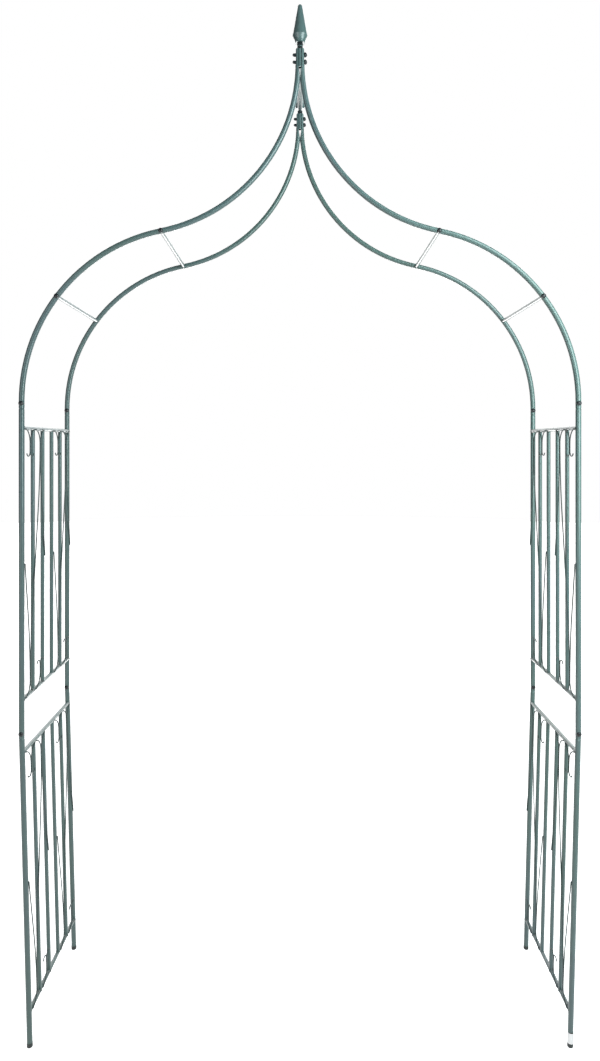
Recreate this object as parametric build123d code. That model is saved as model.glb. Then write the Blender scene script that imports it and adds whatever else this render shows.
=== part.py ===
"""Garden trellis arch: welded ladder panels, bent arch rails, depth ties and two finials.

Frame: Z up from the ground, X across the opening, Y from front (-) to rear (+), all in millimetres.
"""
import os
from math import acos, cos, degrees, radians, sin, sqrt, tan

from build123d import *

os.makedirs("parts", exist_ok=True)

# ---------------------------------------------------------------- driving dimensions
SPAN = 1386.0            # post centre to post centre across the opening
DEPTH = 366.0            # front frame to rear frame, centre to centre
POST_D = 14.0            # posts, arch rails and tie bar
BAR_D = 10.5             # bars, rails and crossbars
WALL = 1.0               # wall of every tube
WIRE_D = 2.8             # scroll wire
GAP = 0.05               # air left between faces that touch

FOOT_CAP_H = 10.0        # cap below the end of a post
BOTTOM_RAIL_Z = 88.0
LOWER_TOP_RAIL_Z = 732.0
MID_JOINT_Z = 766.0      # where the upper panel sits on the lower one
UPPER_BOTTOM_RAIL_Z = 863.0
UPPER_TOP_RAIL_Z = 1540.0
SHOULDER_Z = 1588.0      # where the arch rail sits on the upper panel
LEAN = 1.5               # degrees that a lower panel leans in about its mid joint screws

BEND_Z = 1606.0          # the arch rail is straight up to here
SHOULDER_R = 433.0       # centreline radius of the shoulder bend
NECK_R = 426.0           # centreline radius of the reverse bend below the apex
RAIL_END_X = 4.8         # centreline of a rail's straight end, beside the centre tube
CLAMP_X = 10.4           # pressed flat on the outside to here at the cross bolts
LIP_X = 4.5              # edge of the pressed rail on the face of the centre tube
WEDGE_H = 25.5           # open wedge between the rails below the centre tube
APEX_TOP_Z = 2483.0

CENTRE_TUBE_D = 12.0
CENTRE_TUBE_H = 46.0
CROSS_BOLT_Z = (2450.4, 2468.3)
TIE_Z = 2489.0
THIN_NUT_H = 4.0
FINIAL_BASE_Z = 2497.5
FINIAL_TOP_Z = 2594.0
FINIAL_D = 37.2
STUD_D = 8.0

BAR_COUNT = 4
LOW_CROSSBAR_X = 605.0
SCREW_UP = 13.0          # joint screw above its joint line

# ---------------------------------------------------------------- worked out from them
HALF_SPAN = SPAN / 2
POST_R = POST_D / 2
POST_BORE = POST_R - WALL
BAR_R = BAR_D / 2
WIRE_R = WIRE_D / 2
FRONT_Y = -DEPTH / 2
REAR_Y = DEPTH / 2
PITCH = DEPTH / (BAR_COUNT + 1)
BAR_X = HALF_SPAN - (POST_R - BAR_R)          # bars lie flush with the inside of the posts
WIRE_X = BAR_X - BAR_R - WIRE_R - GAP
SPIGOT_R = POST_BORE - 0.5
SPIGOT_H = 2 * SCREW_UP
SEAT_X = CLAMP_X - POST_R
CENTRE_R = CENTRE_TUBE_D / 2
APEX_BOTTOM_Z = APEX_TOP_Z - CENTRE_TUBE_H
TURN = acos(1 - (HALF_SPAN - RAIL_END_X) / (SHOULDER_R + NECK_R))
ARC_TOP_Z = BEND_Z + (SHOULDER_R + NECK_R) * sin(TURN)
BOTTOM = (Align.CENTER, Align.CENTER, Align.MIN)


# ---------------------------------------------------------------- helpers
def save(name, solids):
    """Write one node as closed solids."""
    if not isinstance(solids, (list, tuple)):
        solids = [solids]
    flat = [solid for shape in solids for solid in shape.solids()]
    export_step(Compound(children=flat), f"parts/{name}.step")
    volume = sum(solid.volume for solid in flat)
    print(f"{name:34s} {len(flat):3d} solids {volume / 1000:9.3f} cm3")


def rod(radius, start, end):
    """Solid cylinder between two points."""
    start = Vector(*start)
    run = Vector(*end) - start
    return Plane(origin=start, z_dir=run.normalized()) * Cylinder(radius, run.length, align=BOTTOM)


def tube(radius, start, end, wall=WALL):
    """Hollow cylinder between two points."""
    return rod(radius, start, end) - rod(radius - wall, start, end)


def turned(points):
    """Solid of revolution about Z from (radius, height) points."""
    return revolve(Plane.XZ * make_face(Polyline(*points, close=True)), Axis.Z)


def traced(start, heading, steps, place):
    """Wire of tangent lines (length,) and arcs (radius, turn), turns in degrees, + to the left.

    place(a, b) puts a point of the drawing plane into space.
    """
    a, b = start
    angle = radians(heading)
    edges = []
    for step in steps:
        if len(step) == 1:
            end = (a + step[0] * cos(angle), b + step[0] * sin(angle))
            edges.append(Line(place(a, b), place(*end)))
        else:
            radius, turn = step[0], radians(step[1])
            side = 1 if turn > 0 else -1
            centre = (a - side * radius * sin(angle), b + side * radius * cos(angle))

            def on_arc(turned_by):
                return (
                    centre[0] + side * radius * sin(angle + turned_by),
                    centre[1] - side * radius * cos(angle + turned_by),
                )

            end = on_arc(turn)
            edges.append(ThreePointArc(place(a, b), place(*on_arc(turn / 2)), place(*end)))
            angle += turn
        a, b = end
    return Wire(edges)


def swept(path, radius):
    """Round bar along a path."""
    return sweep((path ^ 0) * Circle(radius), path=path)


def mirrored(shape, side):
    """The right hand shape for side +1, its mirror image for side -1."""
    return shape if side > 0 else mirror(shape, about=Plane.YZ)


# ---------------------------------------------------------------- fasteners
def dome_bolt(head_r, head_h, shank_r, reach, coped=True):
    """Domed bolt; local Z points out of the head and the seat is POST_R above the origin.

    A coped head fits a round tube whose axis is local X, the other kind lies on a flat.
    """
    under_z, rim_z = (POST_R - 3.2, POST_R - 0.6) if coped else (POST_R + GAP, POST_R + 3.4)
    top_z = POST_R + head_h
    rise = top_z - rim_z
    dome_r = (head_r ** 2 + rise ** 2) / (2 * rise)
    head = rod(head_r, (0, 0, under_z), (0, 0, top_z))
    head &= Pos(0, 0, top_z - dome_r) * Sphere(dome_r) + rod(head_r + 1, (0, 0, 0), (0, 0, rim_z))
    if coped:
        head -= rod(POST_R + GAP, (-20, 0, 0), (20, 0, 0))
    for turn in (0, 90):
        head -= Pos(0, 0, top_z) * Rot(0, 0, turn) * Box(head_r * 0.85, 0.9, 2.4)
    return head + rod(shank_r, (0, 0, -reach), (0, 0, POST_R + 1))


def cap_nut(across_flats, height, bore_r):
    """Hex nut with a domed end, on a flat POST_R above the origin; local Z points out."""
    base_z = POST_R + GAP
    crown_z = base_z + height
    hexagon = Pos(0, 0, base_z) * extrude(RegularPolygon(across_flats / 2, 6, major_radius=False), height)
    nut = hexagon + Pos(0, 0, crown_z) * Sphere(across_flats / 2 - 0.2)
    return nut - rod(bore_r, (0, 0, 0), (0, 0, crown_z + 1.0))


def seat(x, y, z, out, along):
    """Plane on a tube's axis: local Z points out, local X runs along the tube."""
    return Plane(origin=(x, y, z), x_dir=along, z_dir=out)


def joint_screw(x, y, z):
    """Screw into the front of a slip joint."""
    return seat(x, y, z, (0, -1, 0), (0, 0, 1)) * dome_bolt(6.2, 3.2, 2.0, -SPIGOT_R + 4.5)


def screw_hole(x, y, z):
    """Hole for a joint screw in the front wall of a tube."""
    return rod(2.0 + GAP, (x, y, z), (x, y - 12, z))


# ---------------------------------------------------------------- posts and panels
def post(y, bottom_z, joint_z):
    """Right hand post: open below, narrowed to a spigot that enters the tube above."""
    profile = (
        (POST_BORE, bottom_z),
        (POST_R, bottom_z),
        (POST_R, joint_z - 2),
        (SPIGOT_R, joint_z + 1),
        (SPIGOT_R, joint_z + SPIGOT_H),
        (SPIGOT_R - WALL, joint_z + SPIGOT_H),
        (SPIGOT_R - WALL, joint_z + 0.5),
        (POST_BORE, joint_z - 3),
    )
    return Pos(HALF_SPAN, y, 0) * turned(profile) - screw_hole(HALF_SPAN, y, joint_z + SCREW_UP)


def panel_rail(z):
    """Right hand rail from front post to rear post, coped to both."""
    rail = tube(BAR_R, (BAR_X, FRONT_Y + 2, z), (BAR_X, REAR_Y - 2, z))
    for y in (FRONT_Y, REAR_Y):
        rail -= rod(POST_R + GAP, (HALF_SPAN, y, z - 20), (HALF_SPAN, y, z + 20))
    return rail


def panel_bars(bottom_z, top_z):
    """Right hand upright bars, coped to the rails."""
    bars = []
    for index in range(1, BAR_COUNT + 1):
        y = FRONT_Y + index * PITCH
        bar = tube(BAR_R, (BAR_X, y, bottom_z + 1), (BAR_X, y, top_z - 1))
        for z in (bottom_z, top_z):
            bar -= rod(BAR_R + GAP, (BAR_X, y - 20, z), (BAR_X, y + 20, z))
        bars.append(bar)
    return bars


def panel_wires(bottom_z, top_z):
    """Right hand scroll wires on the inner face of the bars."""
    middle_z = (bottom_z + top_z) / 2
    half = (top_z - bottom_z) / 2
    touch = WIRE_R + GAP                       # a wire's distance from its centre line where two meet
    end_turn = 80.0                            # turn of the quarter-like bend at a rail
    end_u = PITCH / 2 - 5.8                    # where that bend starts, out from the centre line
    end_r = (end_u - touch) / (1 - cos(radians(end_turn)))
    end_t = half - 2.0
    neck_t = end_t - end_r * sin(radians(end_turn))
    slope = 9.3                                # steepest lean of a long wire
    run = 2 * neck_t
    shift = PITCH - 2 * touch
    bow_r = (run * tan(radians(slope)) - shift) / (2 * (1 / cos(radians(slope)) - 1))
    straight = (run - 2 * bow_r * sin(radians(slope))) / cos(radians(slope))
    hook_r = 12.0
    hook_drop = 34.0                           # neck to the bottom of the hook

    bend = (end_r, end_turn)
    hooked = (bend, (hook_drop - hook_r,), (hook_r, 90), (hook_r, 65))
    half_long = (bend, (bow_r, slope), (straight / 2,))
    long = (bend, (bow_r, slope), (straight,), (bow_r, -slope), (end_r, -end_turn))

    wires = []

    def add(centre_y, side, up, steps):
        def place(u, t):
            return (WIRE_X, centre_y + side * u, middle_z + up * t)

        path = traced((end_u, end_t), 180 + 90 - end_turn, steps, place)
        wires.append(swept(path, WIRE_R))

    for first_y in (FRONT_Y, FRONT_Y + 3 * PITCH):
        near_y = first_y + 0.5 * PITCH
        far_y = first_y + 1.5 * PITCH
        for side in (-1, 1):
            add(near_y, side, 1, hooked)
            add(far_y, side, -1, hooked)
        add(far_y, -1, 1, long)
        add(far_y, 1, 1, half_long)
        add(near_y, -1, -1, half_long)
    return wires


def foot_cap(y):
    """Round cap that plugs the foot of a right hand post; its underside is trimmed level later."""
    head = Pos(HALF_SPAN, y, -1) * Cylinder(POST_R + 0.3, FOOT_CAP_H + 1, align=BOTTOM)
    head = fillet(head.edges().group_by(Axis.Z)[0], 2.4)
    return head + rod(POST_BORE - GAP, (HALF_SPAN, y, FOOT_CAP_H - 1), (HALF_SPAN, y, FOOT_CAP_H + 15))


def leaned(shape):
    """A right hand lower panel piece, turned about the line of its mid joint screws."""
    pivot_z = MID_JOINT_Z + SCREW_UP
    return Pos(HALF_SPAN, 0, pivot_z) * Rot(0, LEAN, 0) * Pos(-HALF_SPAN, 0, -pivot_z) * shape


def same(shape):
    return shape


LEVELS = {
    "upper": (same, MID_JOINT_Z + 0.9, SHOULDER_Z, UPPER_BOTTOM_RAIL_Z, UPPER_TOP_RAIL_Z),
    "lower": (leaned, FOOT_CAP_H + GAP, MID_JOINT_Z, BOTTOM_RAIL_Z, LOWER_TOP_RAIL_Z),
}
SIDES = {"right": 1, "left": -1}
ENDS = {"front": FRONT_Y, "rear": REAR_Y}

for level, (stand, post_z, joint_z, low_z, high_z) in LEVELS.items():
    bars = [stand(bar) for bar in panel_bars(low_z, high_z)]
    wires = [stand(wire) for wire in panel_wires(low_z, high_z)]
    rails = {"bottom": stand(panel_rail(low_z)), "top": stand(panel_rail(high_z))}
    posts = {}
    for end, y in ENDS.items():
        piece = post(y, post_z, joint_z)
        if level == "upper":
            piece -= screw_hole(HALF_SPAN, y, MID_JOINT_Z + SCREW_UP)
        posts[end] = stand(piece)
    for side, sign in SIDES.items():
        save(f"{side}_{level}_bars", [mirrored(bar, sign) for bar in bars])
        save(f"{side}_{level}_scroll_wires", [mirrored(wire, sign) for wire in wires])
        for name, rail in rails.items():
            save(f"{side}_{level}_{name}_rail", mirrored(rail, sign))
        for end, piece in posts.items():
            save(f"{side}_{level}_{end}_post", mirrored(piece, sign))

above_ground = Box(2 * SPAN, 2 * DEPTH, 200, align=BOTTOM)
for end, y in ENDS.items():
    cap = leaned(foot_cap(y)) & above_ground
    for side, sign in SIDES.items():
        save(f"{side}_{end}_foot_cap", mirrored(cap, sign))


# ---------------------------------------------------------------- arch rails
def crossbar_points():
    """(X, Z, tilt of the rail there in radians) of the low and the high crossbar."""
    low = acos(1 - (HALF_SPAN - LOW_CROSSBAR_X) / SHOULDER_R)
    return [
        (HALF_SPAN - SHOULDER_R * (1 - cos(tilt)), BEND_Z + SHOULDER_R * sin(tilt), tilt)
        for tilt in (low, TURN)
    ]


CROSSBARS = dict(zip(("low", "high"), crossbar_points()))


def arch_path(y, start_z, end_z):
    def place(x, z):
        return (x, y, z)

    steps = (
        (BEND_Z - start_z,),
        (SHOULDER_R, degrees(TURN)),
        (NECK_R, -degrees(TURN)),
        (end_z - ARC_TOP_Z,),
    )
    return traced((HALF_SPAN, start_z), 90, steps, place)


def across(y, *points):
    """Prism through a rail from (X, Z) corners."""
    return extrude(Plane.XZ.offset(-y) * make_face(Polyline(*points, close=True)), POST_D, both=True)


def arch_rail(y):
    """Right hand arch rail; its upper end is pressed round the centre tube and closed on top."""
    outer = swept(arch_path(y, SHOULDER_Z + 0.1, APEX_TOP_Z), POST_R)
    bore = swept(arch_path(y, SHOULDER_Z - 1, APEX_TOP_Z + 2), POST_BORE)
    high_z = APEX_TOP_Z + 3
    neck_z = APEX_TOP_Z - 140
    bend_low_z = CROSS_BOLT_Z[0] - 12
    bend_high_z = CROSS_BOLT_Z[0] - 6.3

    def pressed_away(skin):
        """Space that the rail is pressed out of, grown by a skin."""
        lip = LIP_X + skin
        near = GAP + skin
        flat = CLAMP_X - skin
        round_tube = rod(CENTRE_R + GAP + skin, (0, y, APEX_BOTTOM_Z - 0.2), (0, y, high_z))
        inside = across(
            y, (-20, neck_z), (near, neck_z), (near, APEX_BOTTOM_Z - WEDGE_H),
            (lip, APEX_BOTTOM_Z), (lip, high_z), (-20, high_z),
        )
        outside = across(
            y, (flat + 1.7, bend_low_z), (flat, bend_high_z), (flat, high_z), (30, high_z), (30, bend_low_z)
        )
        return round_tube + inside + outside

    closed = (Pos(0, y, APEX_TOP_Z - 8) * Box(40, 40, 20, align=BOTTOM)) & outer
    rail = outer - bore + (pressed_away(WALL) & outer) + closed
    rail -= pressed_away(0)

    corner_r = 4.0
    corner_x = CLAMP_X - corner_r
    corner_z = APEX_TOP_Z - corner_r
    corner = Pos(corner_x, y, corner_z) * Box(10, 30, 10, align=(Align.MIN, Align.CENTER, Align.MIN))
    corner -= rod(corner_r, (corner_x, y - 20, corner_z), (corner_x, y + 20, corner_z))
    rail -= corner

    for z in CROSS_BOLT_Z:
        rail -= rod(2.6, (0, y, z), (30, y, z))
    for x, z, _ in CROSSBARS.values():
        rail -= rod(2.6, (x, y - 12, z), (x, y + 12, z))
    return rail - screw_hole(HALF_SPAN, y, SHOULDER_Z + SCREW_UP)


for end, y in ENDS.items():
    rail = arch_rail(y)
    for side, sign in SIDES.items():
        save(f"{end}_{side}_arch_rail", mirrored(rail, sign))

# ---------------------------------------------------------------- crossbars and their fixings
INSERT_H = 16.0
INSERT_START = POST_R + 1.5
inserts = []
crossbar_bolts = []
for place, (x, z, tilt) in CROSSBARS.items():
    along = (-sin(tilt), 0, cos(tilt))
    bar = tube(BAR_R, (x, FRONT_Y + 3, z), (x, REAR_Y - 3, z))
    for y, out in ((FRONT_Y, -1), (REAR_Y, 1)):
        reach = Vector(*along) * 30
        centre = Vector(x, y, z)
        bar -= rod(POST_R + 2 * GAP, centre - reach, centre + reach)
        near = y - out * INSERT_START
        insert = rod(BAR_R - WALL - GAP, (x, near, z), (x, near - out * INSERT_H, z))
        insert -= rod(2.5 + GAP, (x, y, z), (x, y - out * 40, z))
        bolt = seat(x, y, z, (0, out, 0), along) * dome_bolt(6.2, 3.2, 2.5, INSERT_START + INSERT_H - 3)
        for sign in SIDES.values():
            inserts.append(mirrored(insert, sign))
            crossbar_bolts.append(mirrored(bolt, sign))
    for side, sign in SIDES.items():
        save(f"{side}_{place}_crossbar", mirrored(bar, sign))
save("crossbar_inserts", inserts)
save("crossbar_bolts", crossbar_bolts)

for name, z in (("shoulder", SHOULDER_Z), ("mid", MID_JOINT_Z)):
    screws = [joint_screw(sign * HALF_SPAN, y, z + SCREW_UP) for sign in SIDES.values() for y in ENDS.values()]
    save(f"{name}_joint_screws", screws)


# ---------------------------------------------------------------- apex
def centre_tube(y):
    """Short tube between the rail ends: open below, threaded for the stud above."""
    thread_r = STUD_D / 2 + GAP
    bore_r = CENTRE_R - WALL
    profile = (
        (bore_r, APEX_BOTTOM_Z),
        (CENTRE_R, APEX_BOTTOM_Z),
        (CENTRE_R, APEX_TOP_Z),
        (thread_r, APEX_TOP_Z),
        (thread_r, APEX_TOP_Z - 10),
        (bore_r, APEX_TOP_Z - 10),
    )
    piece = Pos(0, y, 0) * turned(profile)
    for z in CROSS_BOLT_Z:
        piece -= rod(2.6, (-20, y, z), (20, y, z))
    return piece


def hex_nut(y, bottom_z, height):
    """Chamfered hex nut on the stud."""
    corner_r = 7.05
    body = extrude(RegularPolygon(corner_r, 6), height)
    body &= Cylinder(corner_r, height, align=BOTTOM) - Pos(0, 0, height) * chamfer_ring(corner_r, -1)
    body -= chamfer_ring(corner_r, 1)
    return Pos(0, y, bottom_z) * (body - rod(STUD_D / 2 + GAP, (0, 0, -1), (0, 0, height + 1)))


def chamfer_ring(corner_r, up):
    """Ring that takes the corners off a hex end; up is the side the nut lies on."""
    size = 1.0
    return turned(((corner_r - size, 0), (corner_r + 1, 0), (corner_r + 1, up * size), (corner_r, up * size)))


def finial(y):
    """Long cone with a rounded tip on a cupped collar with a flat underside."""
    wide_r = FINIAL_D / 2
    cup_r = 13.0
    cone_low = (17.8, FINIAL_BASE_Z + 24.0)
    slope = radians(10.3)                      # the cone's side from upright
    low_r, low_z = cone_low
    reach_r = low_r - (FINIAL_TOP_Z - low_z) * tan(slope)
    tip_r = reach_r * cos(slope) / (1 - sin(slope))
    tip_z = FINIAL_TOP_Z - tip_r
    hole_z = FINIAL_BASE_Z + 22
    profile = (
        (0, hole_z),
        (STUD_D / 2 + GAP, hole_z),
        (STUD_D / 2 + GAP, FINIAL_BASE_Z),
        (cup_r - 0.6, FINIAL_BASE_Z),
        (cup_r, FINIAL_BASE_Z + 0.6),
        (cup_r + 0.3, FINIAL_BASE_Z + 6),
        (cup_r + 1.9, FINIAL_BASE_Z + 10.5),
        (wide_r - 0.9, FINIAL_BASE_Z + 16.5),
        (wide_r, FINIAL_BASE_Z + 18.5),
        (wide_r, FINIAL_BASE_Z + 20.5),
        cone_low,
        (tip_r * cos(slope), tip_z + tip_r * sin(slope)),
        (0, tip_z + tip_r * sin(slope)),
    )
    body = turned(profile) + Pos(0, 0, tip_z) * Sphere(tip_r)
    return Pos(0, y, 0) * body


def tie_bar():
    """Tube from front stud to rear stud with flattened, drilled ends."""
    flat_h = 2.0
    eye_r = POST_R
    flat_end = 10.0
    neck = 22.0
    tube_y = REAR_Y - flat_end - neck
    bar = tube(POST_R, (0, -tube_y, TIE_Z), (0, tube_y, TIE_Z))
    for out in (-1, 1):
        eye_y = out * REAR_Y
        eye = Pos(0, eye_y, TIE_Z) * Cylinder(eye_r, flat_h)
        eye += Pos(0, out * (REAR_Y - flat_end / 2), TIE_Z) * Box(POST_D, flat_end, flat_h)
        start = Plane(origin=(0, out * tube_y, TIE_Z), x_dir=(1, 0, 0), z_dir=(0, out, 0))
        stop = Plane(origin=(0, out * (tube_y + neck), TIE_Z), x_dir=(1, 0, 0), z_dir=(0, out, 0))
        press = loft([start * Circle(POST_R), stop * Ellipse(POST_R, flat_h / 2 + 0.3)])
        bar = bar + press + eye
        bar -= rod(STUD_D / 2 + 0.3, (0, eye_y, TIE_Z - 10), (0, eye_y, TIE_Z + 10))
    return bar


save("apex_tie_bar", tie_bar())
apex_bolts = []
apex_nuts = []
studs = []
washers = []
lower_nuts = []
upper_nuts = []
for end, y in ENDS.items():
    save(f"{end}_apex_centre_tube", centre_tube(y))
    save(f"{end}_finial", finial(y))
    for z in CROSS_BOLT_Z:
        bolt = dome_bolt(6.0, 7.4, 2.5, 2 * SEAT_X + POST_R + 3.0, coped=False)
        apex_bolts.append(seat(SEAT_X, y, z, (1, 0, 0), (0, 0, 1)) * bolt)
        apex_nuts.append(seat(-SEAT_X, y, z, (-1, 0, 0), (0, 0, 1)) * cap_nut(8.0, 4.6, 2.5 + GAP))
    studs.append(rod(STUD_D / 2, (0, y, APEX_TOP_Z - 8), (0, y, FINIAL_BASE_Z + 20)))
    washer_h = TIE_Z - 1.0 - THIN_NUT_H - 2 * GAP - APEX_TOP_Z - GAP
    washer = rod(6.8, (0, y, APEX_TOP_Z + GAP), (0, y, APEX_TOP_Z + GAP + washer_h))
    washers.append(washer - rod(STUD_D / 2 + 0.2, (0, y, APEX_TOP_Z - 5), (0, y, TIE_Z)))
    lower_nuts.append(hex_nut(y, TIE_Z - 1.0 - GAP - THIN_NUT_H, THIN_NUT_H))
    upper_nuts.append(hex_nut(y, TIE_Z + 1.0 + GAP, FINIAL_BASE_Z - TIE_Z - 1.0 - 2 * GAP))
save("apex_cross_bolts", apex_bolts)
save("apex_cap_nuts", apex_nuts)
save("finial_studs", studs)
save("finial_washers", washers)
save("finial_lower_nuts", lower_nuts)
save("finial_upper_nuts", upper_nuts)
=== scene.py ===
import math
import random

import bmesh
import bpy
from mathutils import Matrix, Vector, noise


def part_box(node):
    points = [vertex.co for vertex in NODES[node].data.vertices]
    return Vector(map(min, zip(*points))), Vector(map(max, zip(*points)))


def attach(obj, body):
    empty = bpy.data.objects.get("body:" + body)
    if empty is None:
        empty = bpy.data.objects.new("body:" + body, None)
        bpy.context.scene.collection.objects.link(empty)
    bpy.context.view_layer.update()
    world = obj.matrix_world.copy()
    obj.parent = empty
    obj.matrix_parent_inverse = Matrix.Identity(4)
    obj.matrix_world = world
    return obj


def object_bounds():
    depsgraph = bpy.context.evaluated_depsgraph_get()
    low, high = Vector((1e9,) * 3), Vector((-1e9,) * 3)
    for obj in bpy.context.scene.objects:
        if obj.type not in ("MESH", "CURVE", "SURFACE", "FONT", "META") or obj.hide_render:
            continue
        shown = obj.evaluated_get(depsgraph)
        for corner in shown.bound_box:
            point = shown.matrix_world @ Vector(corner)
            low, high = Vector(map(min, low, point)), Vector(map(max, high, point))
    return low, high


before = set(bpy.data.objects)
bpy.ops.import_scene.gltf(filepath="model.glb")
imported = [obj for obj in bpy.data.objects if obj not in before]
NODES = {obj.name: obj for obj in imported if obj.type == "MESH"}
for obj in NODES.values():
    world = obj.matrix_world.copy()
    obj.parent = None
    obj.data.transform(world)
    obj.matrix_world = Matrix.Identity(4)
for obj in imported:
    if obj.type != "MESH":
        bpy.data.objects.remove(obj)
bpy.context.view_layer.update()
MM = 0.001

SIDES = {"left": -1, "right": 1}
LEVELS = ("lower", "upper")
BARS_A_PANEL = 4

FRONT = Vector((0, -1, 0))
REAR = Vector((0, 1, 0))


# ---------------------------------------------------------------- node helpers
class Graph:
    """A node tree being wired up."""

    def __init__(self, tree):
        self.tree = tree
        tree.nodes.clear()

    def add(self, kind, settings=None, **inputs):
        """New node; settings are its attributes, inputs its sockets by name, underscores for spaces."""
        node = self.tree.nodes.new(kind)
        for key, value in (settings or {}).items():
            setattr(node, key, value)
        for key, value in inputs.items():
            self.feed(node.inputs[key.replace("_", " ")], value)
        return node

    def feed(self, socket, value):
        if isinstance(value, bpy.types.NodeSocket):
            self.tree.links.new(value, socket)
        else:
            socket.default_value = value

    def noise(self, coords, scale, detail=2.0, roughness=0.5):
        node = self.add("ShaderNodeTexNoise", Vector=coords, Scale=scale, Detail=detail, Roughness=roughness)
        return node.outputs["Fac"]

    def ramp(self, factor, *stops):
        """Colour ramp from (position, value) stops; a value is a grey number or an (r, g, b) colour."""
        node = self.add("ShaderNodeValToRGB", Fac=factor)
        elements = node.color_ramp.elements
        while len(elements) < len(stops):
            elements.new(0.5)
        for element, (position, value) in zip(elements, stops):
            element.position = position
            element.color = (*value, 1) if isinstance(value, tuple) else (value, value, value, 1)
        return node.outputs["Color"]

    def mix(self, factor, first, second, blend="MIX"):
        node = self.add("ShaderNodeMix", {"data_type": "RGBA", "blend_type": blend})
        for index, value in ((0, factor), (6, first), (7, second)):
            if isinstance(value, tuple):
                value = (*value, 1)
            self.feed(node.inputs[index], value)
        return node.outputs[2]

    def product(self, first, second):
        return self.mix(1.0, first, second, "MULTIPLY")

    def maths(self, operation, *values):
        node = self.add("ShaderNodeMath", {"operation": operation})
        for socket, value in zip(node.inputs, values):
            self.feed(socket, value)
        return node.outputs[0]

    def bump(self, height, strength, distance, normal=None):
        node = self.add("ShaderNodeBump", Height=height, Strength=strength, Distance=distance)
        if normal is not None:
            self.feed(node.inputs["Normal"], normal)
        return node.outputs["Normal"]


def material(name):
    """New material with an empty graph."""
    made = bpy.data.materials.new(name)
    made.use_nodes = True
    return made, Graph(made.node_tree)


def surface(graph, **inputs):
    shader = graph.add("ShaderNodeBsdfPrincipled", None, **inputs)
    graph.add("ShaderNodeOutputMaterial", Surface=shader.outputs[0])


def object_coords(graph, stretch=(1, 1, 1)):
    coords = graph.add("ShaderNodeTexCoord").outputs["Object"]
    if stretch == (1, 1, 1):
        return coords
    return graph.add("ShaderNodeMapping", Vector=coords, Scale=stretch).outputs["Vector"]


# ---------------------------------------------------------------- materials
def powder_coat(name, ripple=0.0, painted_shade_factor=1.0, matt=0.0):
    """Glossy sage powder coat: mottled hue, orange peel, dust nibs, faint rubbed streaks.

    ripple is the strength of weld ripples, shade darkens the whole coat as painted shading for darker copies
    of the one coat, and matt adds to its roughness.
    """
    made, g = material(name)
    coords = object_coords(g)
    hue = g.ramp(
        g.noise(coords, 2.3, 3.0),
        (0.34, (0.060, 0.114, 0.103)),
        (0.50, (0.067, 0.119, 0.114)),
        (0.66, (0.068, 0.116, 0.121)),
    )
    # Painted shading: the darkening factor scales the mottled colour down, for darker copies of the one
    # coat.
    mottle = g.ramp(g.noise(coords, 60.0, 5.0, 0.6), (0.30, 0.93 * painted_shade_factor), (0.70, 1.06 * painted_shade_factor))
    colour = g.product(hue, mottle)

    nib_cells = g.add("ShaderNodeTexVoronoi", Vector=coords, Scale=190.0)
    nibs = g.ramp(nib_cells.outputs["Distance"], (0.05, 1.0), (0.11, 0.0))
    nib_patches = g.ramp(g.noise(coords, 35.0, 1.0), (0.55, 0.0), (0.62, 1.0))
    nibs = g.product(nibs, nib_patches)
    colour = g.mix(g.maths("MULTIPLY", nibs, 0.10), colour, (0.20, 0.28, 0.27))

    streak_coords = object_coords(g, (1, 1, 0.06))
    streaks = g.ramp(g.noise(streak_coords, 900.0, 2.0, 0.6), (0.60, 0.0), (0.74, 1.0))
    rubbed_patches = g.ramp(g.noise(coords, 9.0, 2.0), (0.48, 0.0), (0.64, 1.0))
    rubbed = g.product(streaks, rubbed_patches)
    colour = g.mix(g.maths("MULTIPLY", rubbed, 0.06), colour, (0.16, 0.23, 0.23))

    roughness = g.ramp(g.noise(coords, 40.0, 3.0), (0.25, 0.26 + matt), (0.75, 0.36 + matt))
    roughness = g.mix(g.maths("MULTIPLY", rubbed, 0.15), roughness, (0.45, 0.45, 0.45))

    peel = g.noise(coords, 520.0, 2.0)
    normal = g.bump(peel, 0.05, 0.06 * MM)
    normal = g.bump(nibs, 0.08, 0.06 * MM, normal)
    if ripple:
        waves = g.add("ShaderNodeTexWave", Vector=coords, Scale=260.0, Distortion=3.0, Detail=1.0)
        normal = g.bump(waves.outputs["Fac"], ripple, 0.4 * MM, normal)
    surface(
        g, Base_Color=colour, Roughness=roughness, Normal=normal,
        IOR=1.5, Coat_Weight=0.0 if matt else 0.25, Coat_Roughness=0.16,
    )
    return made


def black_fastener():
    """Black finished steel with a soft gloss and rubbed high spots."""
    made, g = material("black_coated_steel")
    coords = object_coords(g)
    tone = g.ramp(
        g.noise(coords, 140.0, 4.0, 0.6),
        (0.3, (0.006, 0.010, 0.012)),
        (0.7, (0.013, 0.019, 0.022)),
    )
    rub = g.ramp(g.noise(coords, 420.0, 3.0, 0.7), (0.60, 0.0), (0.72, 1.0))
    colour = g.mix(g.maths("MULTIPLY", rub, 0.3), tone, (0.040, 0.044, 0.046))
    roughness = g.ramp(g.noise(coords, 260.0, 3.0), (0.3, 0.16), (0.7, 0.36))
    normal = g.bump(g.noise(coords, 900.0, 2.0), 0.15, 0.3 * MM)
    surface(g, Base_Color=colour, Roughness=roughness, Normal=normal, IOR=1.45)
    return made


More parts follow.
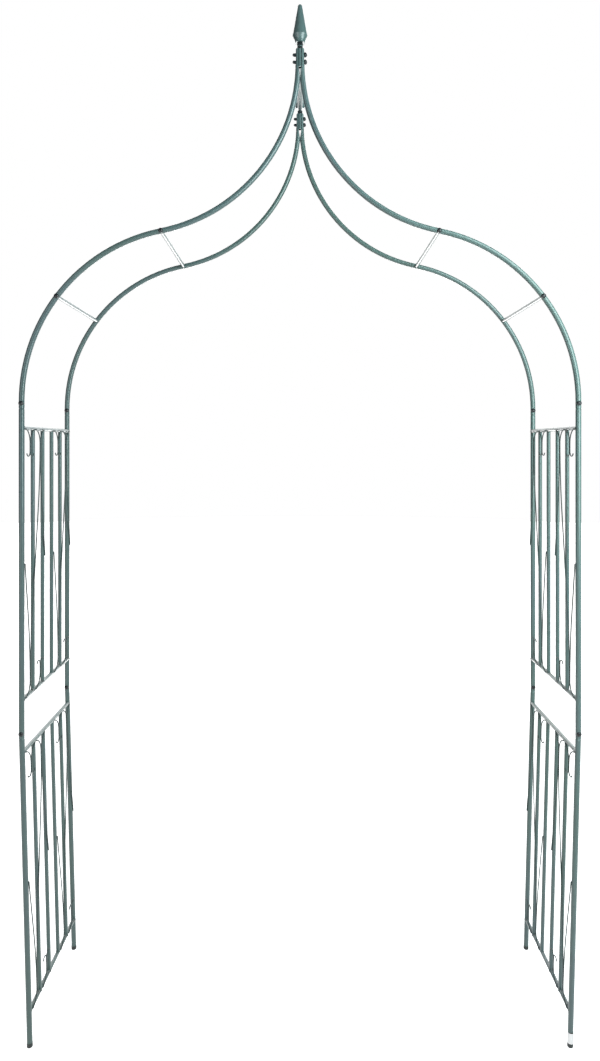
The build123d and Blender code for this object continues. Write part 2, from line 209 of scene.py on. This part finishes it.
def moulded_plastic():
    """Black moulded foot cap: fine spark-eroded grain and a little scuffing."""
    made, g = material("black_moulded_plastic")
    coords = object_coords(g)
    tone = g.ramp(
        g.noise(coords, 90.0, 4.0),
        (0.3, (0.010, 0.014, 0.014)),
        (0.7, (0.019, 0.025, 0.024)),
    )
    scuff = g.ramp(g.noise(coords, 300.0, 5.0, 0.7), (0.60, 0.0), (0.75, 1.0))
    colour = g.mix(g.maths("MULTIPLY", scuff, 0.35), tone, (0.09, 0.10, 0.10))
    roughness = g.ramp(g.noise(coords, 200.0, 3.0), (0.3, 0.42), (0.7, 0.62))
    normal = g.bump(g.noise(coords, 2600.0, 2.0), 0.35, 0.2 * MM)
    surface(g, Base_Color=colour, Roughness=roughness, Normal=normal)
    return made


def zinc_steel():
    """Plain zinc plated steel, lightly brushed."""
    made, g = material("zinc_plated_steel")
    coords = object_coords(g)
    brushed = object_coords(g, (1, 1, 12))
    tone = g.ramp(g.noise(coords, 120.0, 4.0), (0.3, (0.46, 0.46, 0.45)), (0.7, (0.62, 0.62, 0.60)))
    roughness = g.ramp(g.noise(brushed, 260.0, 3.0), (0.3, 0.26), (0.7, 0.46))
    normal = g.bump(g.noise(brushed, 500.0, 2.0), 0.2, 0.2 * MM)
    surface(g, Base_Color=tone, Roughness=roughness, Normal=normal, Metallic=1.0)
    return made


def blank_label():
    """Blank white vinyl that glows a little by its own emission, painted light: faint fibre tone, slight
    scuffs, a soft sheen.
    """
    made, g = material("blank_vinyl_label_painted_glow")
    coords = object_coords(g)
    tone = g.ramp(g.noise(coords, 700.0, 4.0), (0.3, (0.74, 0.75, 0.76)), (0.7, (0.86, 0.87, 0.87)))
    scuff = g.ramp(g.noise(object_coords(g, (1, 1, 0.3)), 900.0, 3.0), (0.62, 0.0), (0.76, 1.0))
    colour = g.mix(g.maths("MULTIPLY", scuff, 0.4), tone, (0.55, 0.56, 0.57))
    roughness = g.ramp(g.noise(coords, 300.0, 3.0), (0.3, 0.35), (0.7, 0.55))
    normal = g.bump(g.noise(coords, 600.0, 3.0), 0.2, 0.1 * MM)
    # Painted light: the label emits its own colour at strength 0.45, though it is no lamp.
    surface(
        g, Base_Color=colour, Roughness=roughness, Normal=normal,
        Emission_Color=colour, Emission_Strength=0.45,
    )
    return made


MATERIALS = {
    "green_powder_coat": powder_coat("sage_powder_coat"),
    "black_fasteners": black_fastener(),
    "black_plastic": moulded_plastic(),
    "bare_steel": zinc_steel(),
}
# Darker copy of the one sage coat on the weld beads: painted shading at the joints, not another paint.
SHADED_WELD_COAT = powder_coat("sage_powder_coat_on_weld", ripple=0.5, painted_shade_factor=0.7)
# Darker copy of the one sage coat on the wires: painted shading, not another paint; matt only adds
# roughness.
SHADED_WIRE_COAT = powder_coat("sage_powder_coat_on_wire_painted_shade", painted_shade_factor=0.45, matt=0.25)

for name, node in NODES.items():
    for slot in node.material_slots:
        if name.endswith("scroll_wires"):
            slot.material = SHADED_WIRE_COAT
        else:
            slot.material = MATERIALS[slot.material.name.split(".")[0]]


def new_piece(name, mesh, finish, smooth=False):
    """Object in one material made from a bmesh, which is freed."""
    data = bpy.data.meshes.new(name)
    mesh.to_mesh(data)
    mesh.free()
    if smooth:
        for polygon in data.polygons:
            polygon.use_smooth = True
    data.materials.append(finish)
    piece = bpy.data.objects.new(name, data)
    bpy.context.scene.collection.objects.link(piece)
    return piece


# ---------------------------------------------------------------- weld beads
BEAD_SIDES = 8                 # corners of a bead's section
BEAD_STEPS = 40                # sections round a joint
BEAD_LUMPS = (9, 13)           # fewest and most ripples round a joint
BAR_BEAD = 0.95 * MM           # radius of a bead round a bar
RAIL_BEAD = 1.0 * MM           # and round a rail's end
BEAD_LIFT = 0.25 * MM          # a bead's centre above the tube's skin
BAR_INSET = 0.15 * MM          # a bar's seam stays this far inside the rail's outline

TACK = 1.5 * MM                # radius of a tack that holds a wire
TACK_DEPTH = 0.6 * MM          # a tack's centre outside the face of the bars
TACK_FROM_MIDDLE = 7.0 * MM    # wire ends meet a rail this far in from the bars' axes
TACK_FROM_RAIL = 2.2 * MM      # and this far in from the rail's axis


def loop_of_rings(mesh, centres, radii):
    """Closed ring of tube through the centres."""
    count = len(centres)
    middle = sum(centres, Vector()) / count
    rings = []
    for index, centre in enumerate(centres):
        ahead = centres[(index + 1) % count] - centres[index - 1]
        tangent = ahead.normalized()
        out = (centre - middle) - (centre - middle).dot(tangent) * tangent
        out.normalize()
        up = tangent.cross(out)
        ring = []
        for step in range(BEAD_SIDES):
            turn = 2 * math.pi * step / BEAD_SIDES
            ring.append(mesh.verts.new(centre + radii[index] * (math.cos(turn) * out + math.sin(turn) * up)))
        rings.append(ring)
    for index in range(count):
        first, second = rings[index], rings[(index + 1) % count]
        for step in range(BEAD_SIDES):
            following = (step + 1) % BEAD_SIDES
            mesh.faces.new((first[step], second[step], second[following], first[following]))


def bead(mesh, joint, size, draw):
    """Weld bead round a joint; joint(turn) gives the point of the seam at that angle."""
    lumps = draw.randint(*BEAD_LUMPS)
    phase = draw.uniform(0, 6.28)
    centres = []
    radii = []
    for index in range(BEAD_STEPS):
        turn = 2 * math.pi * index / BEAD_STEPS
        centres.append(joint(turn))
        ripple = 0.12 * math.sin(lumps * turn + phase)
        wander = 0.22 * noise.noise(centres[-1] * 140 + Vector((phase, 0, 0)))
        radii.append(size * (1 + ripple + wander))
    loop_of_rings(mesh, centres, radii)


def tack(mesh, centre, size, along, draw):
    """Small lump of weld, longer along one direction."""
    made = bmesh.ops.create_icosphere(mesh, subdivisions=2, radius=1.0)["verts"]
    along = along.normalized()
    shift = Vector((draw.uniform(0, 9), draw.uniform(0, 9), draw.uniform(0, 9)))
    for vert in made:
        unit = vert.co.copy()
        lump = 1 + 0.22 * noise.noise(unit * 1.4 + shift)
        grown = unit + 0.55 * unit.dot(along) * along
        vert.co = centre + size * lump * grown


class Panel:
    """Where the rails, bars and posts of one panel are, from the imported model's boxes."""

    def __init__(self, side, level):
        self.name = f"{side}_{level}"
        self.low, self.rail_r = self.rail("bottom")
        self.high, _ = self.rail("top")
        self.up = (self.high - self.low).normalized()
        self.inward = self.up.cross(REAR) * SIDES[side]
        bars_low, bars_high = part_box(f"{self.name}_bars")
        first, last = bars_low.y + self.rail_r, bars_high.y - self.rail_r
        self.pitch = (last - first) / (BARS_A_PANEL - 1)
        self.bar_ys = [first + index * self.pitch for index in range(BARS_A_PANEL)]
        self.post_ys = [first - self.pitch, last + self.pitch]
        post_low, post_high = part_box(f"{self.name}_front_post")
        self.post_r = (post_high.y - post_low.y) / 2
        self.half = (self.high - self.low).length / 2

    def rail(self, place):
        """Middle and radius of a rail."""
        low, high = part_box(f"{self.name}_{place}_rail")
        return (low + high) / 2, (high.z - low.z) / 2

    def bar_joint(self, y, at_top):
        """Seam of a bar on a rail."""
        rail = self.high if at_top else self.low
        facing = -1 if at_top else 1
        grip = self.rail_r - BAR_INSET

        def point(turn):
            side = grip * math.cos(turn)
            rise = math.sqrt(max(0.0, self.rail_r ** 2 - side ** 2)) + BEAD_LIFT
            flat = self.inward * side + REAR * (self.rail_r * math.sin(turn) + (y - rail.y))
            return rail + flat + self.up * facing * rise

        return point

    def rail_joint(self, y, at_top):
        """Seam of a rail on a post."""
        rail = self.high if at_top else self.low
        facing = 1 if y < 0 else -1
        offset = self.post_r - self.rail_r

        def point(turn):
            side = self.rail_r * math.cos(turn)
            reach = math.sqrt(max(0.0, self.post_r ** 2 - (side + offset) ** 2)) + BEAD_LIFT
            along = REAR * (y - rail.y + facing * reach)
            return rail + along + self.inward * side + self.up * (self.rail_r * math.sin(turn))

        return point


def weld_tacks(mesh, panel, draw):
    """Tacks at the wire ends and crossings of both repeats of a panel."""
    middle = (panel.low + panel.high) / 2
    face = panel.inward * (panel.rail_r + TACK_DEPTH)
    corner = panel.pitch / 2 - TACK_FROM_MIDDLE
    for start in (panel.post_ys[0], panel.bar_ys[2]):
        for opening in (0.5, 1.5):
            centre_y = start + opening * panel.pitch
            for facing in (-1, 1):
                for out in (-1, 1):
                    rise = panel.up * facing * (panel.half - TACK_FROM_RAIL)
                    spot = middle + face + rise + REAR * (centre_y + out * corner - middle.y)
                    tack(mesh, spot, TACK, REAR, draw)
        crossing = middle + face + REAR * (start + panel.pitch - middle.y)
        tack(mesh, crossing, TACK, panel.up, draw)


def weld_panel(side, level):
    """Every bead and tack of one panel, as one piece."""
    panel = Panel(side, level)
    draw = random.Random(f"{side} {level}")
    mesh = bmesh.new()
    for at_top in (False, True):
        for y in panel.bar_ys:
            bead(mesh, panel.bar_joint(y, at_top), BAR_BEAD, draw)
        for y in panel.post_ys:
            bead(mesh, panel.rail_joint(y, at_top), RAIL_BEAD, draw)
    weld_tacks(mesh, panel, draw)

    bmesh.ops.recalc_face_normals(mesh, faces=mesh.faces)
    piece = new_piece(f"{panel.name}_weld_beads", mesh, SHADED_WELD_COAT, smooth=True)
    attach(piece, "root")


for side in SIDES:
    for level in LEVELS:
        weld_panel(side, level)


# ---------------------------------------------------------------- label on the right front foot
SHEET_T = 0.25 * MM                      # sleeve and label alike
SLEEVE_SPAN = (9.5 * MM, 39 * MM)        # heights above the ground
LABEL_SPAN = (10.0 * MM, 36 * MM)
SLEEVE_TURNS = (-178, 178)               # degrees round the post from its front
LABEL_TURNS = (-100, 38)
MID_SCREW_UP = 13 * MM                   # from the upper post to the screw that the leg leans about


def wrap(name, axis, radius, span, turns, finish):
    """Thin curved sheet on a leaning tube, between two heights and two turns from the front."""
    axis_low, axis_high = axis
    low, high = span
    up = (axis_high - axis_low).normalized()
    aside = up.cross(FRONT)
    columns, rows = 28, 6
    mesh = bmesh.new()
    grid = []
    for row in range(rows + 1):
        height = low + (high - low) * row / rows
        line = []
        for column in range(columns + 1):
            turn = math.radians(turns[0] + (turns[1] - turns[0]) * column / columns)
            at_edge = min(row, rows - row, column, columns - column) == 0
            out = radius + (0.2 if at_edge else 1.0) * SHEET_T
            point = axis_low + up * (height - axis_low.z) / up.z
            line.append(mesh.verts.new(point + out * (math.cos(turn) * FRONT + math.sin(turn) * aside)))
        grid.append(line)
    for row in range(rows):
        for column in range(columns):
            below, above = grid[row], grid[row + 1]
            mesh.faces.new((below[column], below[column + 1], above[column + 1], above[column]))
    bmesh.ops.solidify(mesh, geom=mesh.faces[:], thickness=-SHEET_T * 0.2)
    bmesh.ops.recalc_face_normals(mesh, faces=mesh.faces)
    piece = new_piece(name, mesh, finish)
    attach(piece, "root")


def foot_label():
    """Blank white label over a dark sleeve, just above the cap."""
    low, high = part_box("right_lower_front_post")
    cap_low, cap_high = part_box("right_front_foot_cap")
    upper_low, upper_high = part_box("right_upper_front_post")
    radius = (high.y - low.y) / 2
    post_y = (low.y + high.y) / 2
    top = Vector(((upper_low.x + upper_high.x) / 2, post_y, upper_low.z + MID_SCREW_UP))
    foot = Vector(((cap_low.x + cap_high.x) / 2, post_y, cap_low.z))
    axis = (foot, top)
    plastic = MATERIALS["black_plastic"]
    wrap("foot_sleeve", axis, radius, SLEEVE_SPAN, SLEEVE_TURNS, plastic)
    wrap("foot_label", axis, radius + SHEET_T, LABEL_SPAN, LABEL_TURNS, blank_label())


foot_label()


# ---------------------------------------------------------------- floor and light
FLOOR_R = 14.0                 # metres, as all of this section
FLOOR_DROP = 0.5 * MM          # the floor lies this far below the feet
# Emission strength of the floor's painted glow; the floor is no lamp.
FLOOR_GLOW = 12.0
RAMP_SPAN = 10.0               # distance that a floor ramp covers
ROOM_GLOW = 4.0


def floor():
    """Plain pale studio floor that glows by its own emission, painted light, brightest in a pool well behind
    the object.
    """
    made, g = material("pale_floor_painted_glow")
    coords = object_coords(g)
    tone = g.ramp(g.noise(coords, 0.7, 3.0), (0.3, 0.90), (0.7, 0.93))
    place = g.add("ShaderNodeSeparateXYZ", Vector=coords)

    def along(distance, *stops):
        """Ramp whose stops are at distances."""
        covered = g.maths("MULTIPLY", distance, 1 / RAMP_SPAN)
        return g.ramp(covered, *((at / RAMP_SPAN, value) for at, value in stops))

    aside = g.maths("ABSOLUTE", place.outputs["X"])
    pool = g.product(
        along(aside, (0.2, 1.0), (0.5, 0.38), (1.0, 0.30), (1.6, 0.0)),
        along(place.outputs["Y"], (2.2, 0.0), (3.4, 1.0), (8.0, 1.0), (9.5, 0.0)),
    )
    # Painted light: the pool glows at full floor strength, the rest of the floor at 0.07 of it.
    glow = g.mix(pool, (0.07, 0.07, 0.07), (1.0, 1.0, 1.0))
    surface(g, Base_Color=tone, Roughness=0.7, Emission_Color=glow, Emission_Strength=FLOOR_GLOW)
    mesh = bmesh.new()
    bmesh.ops.create_circle(mesh, cap_ends=True, segments=96, radius=FLOOR_R)
    piece = new_piece("studio_floor", mesh, made)
    piece.location.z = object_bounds()[0].z - FLOOR_DROP
    piece.visible_diffuse = False


def surroundings():
    """Bright sweep behind the object, dimmer room in front of it; the camera sees plain white."""
    world = bpy.data.worlds.new("studio")
    bpy.context.scene.world = world
    world.use_nodes = True
    g = Graph(world.node_tree)
    direction = g.add("ShaderNodeTexCoord").outputs["Generated"]
    parts = g.add("ShaderNodeSeparateXYZ", Vector=direction)
    depth = g.maths("MULTIPLY_ADD", parts.outputs["Y"], 0.5, 0.5)     # 0 is front, 1 is rear
    height = g.maths("MULTIPLY_ADD", parts.outputs["Z"], 0.5, 0.5)    # 0 is down, 1 is up
    behind = g.ramp(depth, (0.10, 0.07), (0.50, 0.04), (0.93, 0.05), (0.97, 0.62))
    above = g.product(g.ramp(depth, (0.82, 0.0), (0.87, 1.0)), g.ramp(height, (0.61, 0.0), (0.70, 1.0)))
    glow = g.mix(1.0, behind, above, "LIGHTEN")
    lit = g.add("ShaderNodeBackground", Color=glow, Strength=ROOM_GLOW)
    seen = g.add("ShaderNodeBackground", Color=(1, 1, 1, 1), Strength=1.0)
    camera_ray = g.add("ShaderNodeLightPath").outputs["Is Camera Ray"]
    both = g.add("ShaderNodeMixShader", Fac=camera_ray)
    g.feed(both.inputs[1], lit.outputs[0])
    g.feed(both.inputs[2], seen.outputs[0])
    g.add("ShaderNodeOutputWorld", Surface=both.outputs[0])


def softbox(name, place, target, size, power, colour):
    """Rectangular light; size is width and height in metres, power is in watts."""
    data = bpy.data.lights.new(name, "AREA")
    data.shape = "RECTANGLE"
    data.size, data.size_y = size
    data.energy = power
    data.color = colour
    light = bpy.data.objects.new(name, data)
    bpy.context.scene.collection.objects.link(light)
    light.location = place
    aim = Vector(target) - Vector(place)
    light.rotation_mode = "QUATERNION"
    light.rotation_quaternion = aim.to_track_quat("-Z", "Y")


floor()
surroundings()
softbox(
    "key_right", place=(1.20, -1.15, 2.05), target=(0.6, 0, 1.75),
    size=(1.1, 1.9), power=60, colour=(0.85, 1.0, 1.0),
)
softbox(
    "fill_left", place=(-2.4, -3.2, 2.0), target=(0.1, 0, 1.4),
    size=(2.4, 3.0), power=36, colour=(1.0, 0.98, 1.0),
)


# ---------------------------------------------------------------- camera
SENSOR = 36.0                  # millimetres on the taller side of the frame
LENS = 25.55
EYE_HEIGHT = 1.491
EYE_DISTANCE = 1.875           # from the plane of the front posts
HORIZON_SHIFT = -0.0782        # the eye line is above the middle of the frame

post_low, post_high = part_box("right_upper_front_post")
front_y = (post_low.y + post_high.y) / 2
view = bpy.data.cameras.new("camera")
view.sensor_fit = "AUTO"
view.sensor_width = SENSOR
view.lens = LENS
view.shift_y = HORIZON_SHIFT
view.clip_start = 0.01
camera = bpy.data.objects.new("camera", view)
bpy.context.scene.collection.objects.link(camera)
camera.location = (0, front_y - EYE_DISTANCE, EYE_HEIGHT)
camera.rotation_euler = (math.radians(90), 0, 0)
bpy.context.scene.camera = camera
bpy.context.scene.view_settings.view_transform = "Standard"
